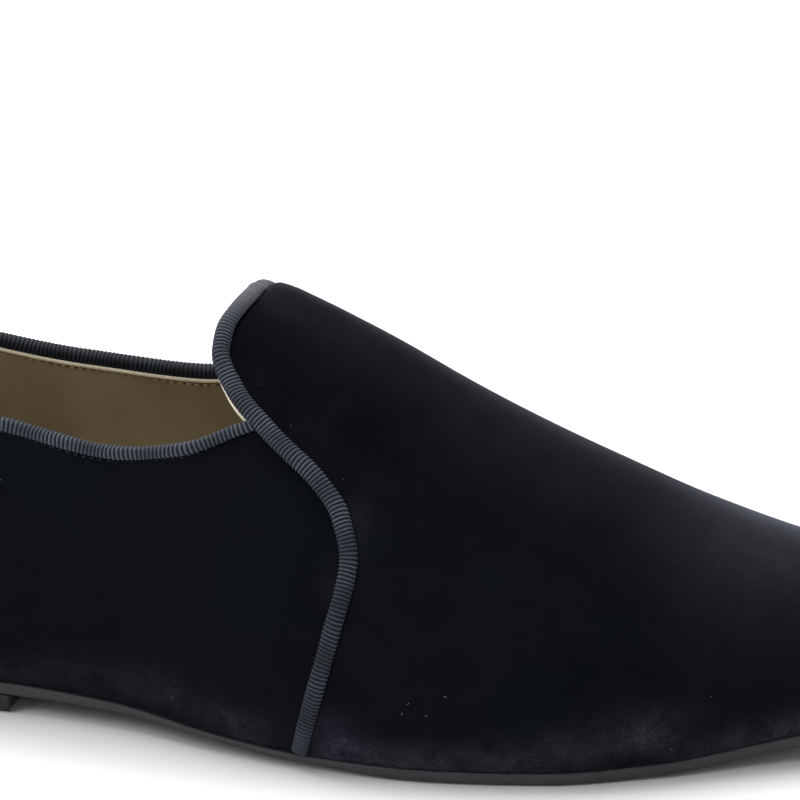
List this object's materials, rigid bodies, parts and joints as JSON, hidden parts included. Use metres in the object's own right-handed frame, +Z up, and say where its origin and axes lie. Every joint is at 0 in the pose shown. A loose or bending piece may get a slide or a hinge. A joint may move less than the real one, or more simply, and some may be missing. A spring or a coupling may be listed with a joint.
{
  "type": "velvet slipper loafer",
  "caption": "Low velvet slipper loafer for the right foot, with a raised tongue vamp, taped edges, a thin sole and a low heel lift.",
  "frame": {"origin": "middle of the heel's rest face, on the floor", "axes": "+X from heel to toe, +Y towards the inner side of the foot, +Z up"},
  "size_m": [0.248, 0.0915, 0.0847],
  "materials": {
    "outsole": "dark stained sole leather, matte",
    "heel": "black rubber lift, matte",
    "insole": "tan sock leather over board, satin",
    "upper": "black velvet with a blue cast, lined with tan leather",
    "binding": "ribbed grosgrain tape, slate"
  },
  "bodies": {
    "root": {"outsole": "outsole", "heel": "heel", "insole": "insole", "upper": "upper", "topline_binding": "binding", "vamp_binding": "binding"}
  },
  "joints": []
}
